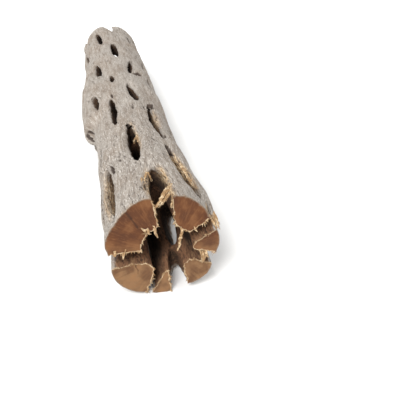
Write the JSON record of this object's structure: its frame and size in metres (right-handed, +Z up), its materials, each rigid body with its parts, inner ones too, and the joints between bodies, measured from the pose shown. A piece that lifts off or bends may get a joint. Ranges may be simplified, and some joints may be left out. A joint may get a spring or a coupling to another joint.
{
  "type": "cholla cactus skeleton",
  "caption": "Dry woody skeleton of a cholla stem, sawn square at both ends: a straight net of fused strands with long windows round a central hollow.",
  "frame": {"origin": "under the middle of the bounding box, on the surface that the length of wood lies on", "axes": "+Y along the stem from the near sawn end to the far one, +Z up, +X to the right when looking along +Y"},
  "size_m": [0.0404, 0.25, 0.036],
  "materials": {
    "weathered_wood": "dry, bare and weathered grey, with warm brown end grain on the sawn faces"
  },
  "bodies": {
    "root": {"cholla_skeleton": "weathered_wood"}
  },
  "joints": []
}
